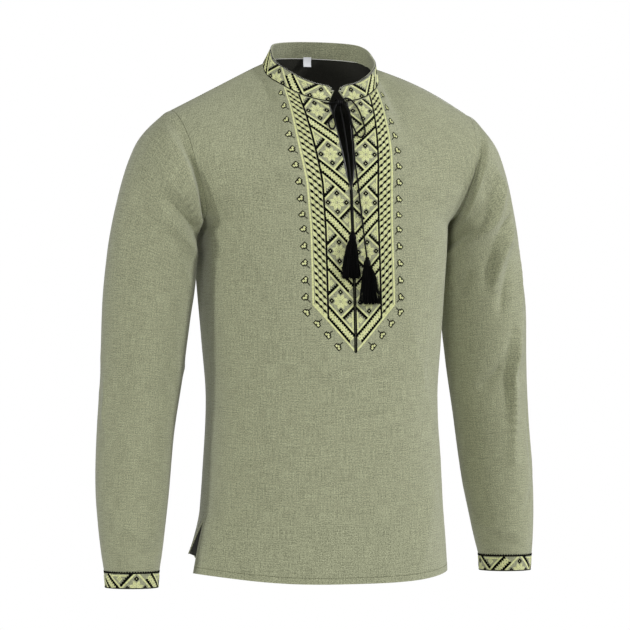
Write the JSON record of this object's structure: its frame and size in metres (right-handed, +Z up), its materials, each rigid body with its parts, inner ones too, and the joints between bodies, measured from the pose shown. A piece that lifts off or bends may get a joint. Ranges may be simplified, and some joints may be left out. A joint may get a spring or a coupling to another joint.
{
  "type": "vyshyvanka shirt",
  "caption": "Linen pullover shirt with a stand collar, an embroidered front, collar and cuffs, and a neck slit closed by a tied cord with tassels; worn open and hollow.",
  "frame": {"origin": "the middle of the neck opening, at the height of the shoulders' highest points, where the shirt hangs from its wearer", "axes": "+Z up, -Y out of the shirt's front, +X to the wearer's left"},
  "size_m": [0.6626, 0.2744, 0.7705],
  "materials": {
    "linen": "matt olive linen with a slubby plain weave",
    "embroidered_linen": "olive linen worked over in light green and black thread",
    "black_cord": "round black cord with a soft sheen",
    "black_thread": "matt black tassel thread",
    "white_tape": "smooth white tape, blank"
  },
  "bodies": {
    "root": {"front": "linen", "back": "linen", "sleeve_left": "linen", "sleeve_right": "linen", "collar": "embroidered_linen", "cuff_left": "embroidered_linen", "cuff_right": "embroidered_linen", "tie_end_left": "black_cord", "tie_end_right": "black_cord", "tie_loop_left": "black_cord", "tie_loop_right": "black_cord", "tie_knot": "black_cord", "tassel_left": "black_thread", "tassel_right": "black_thread", "label_tab": "white_tape"}
  },
  "joints": []
}
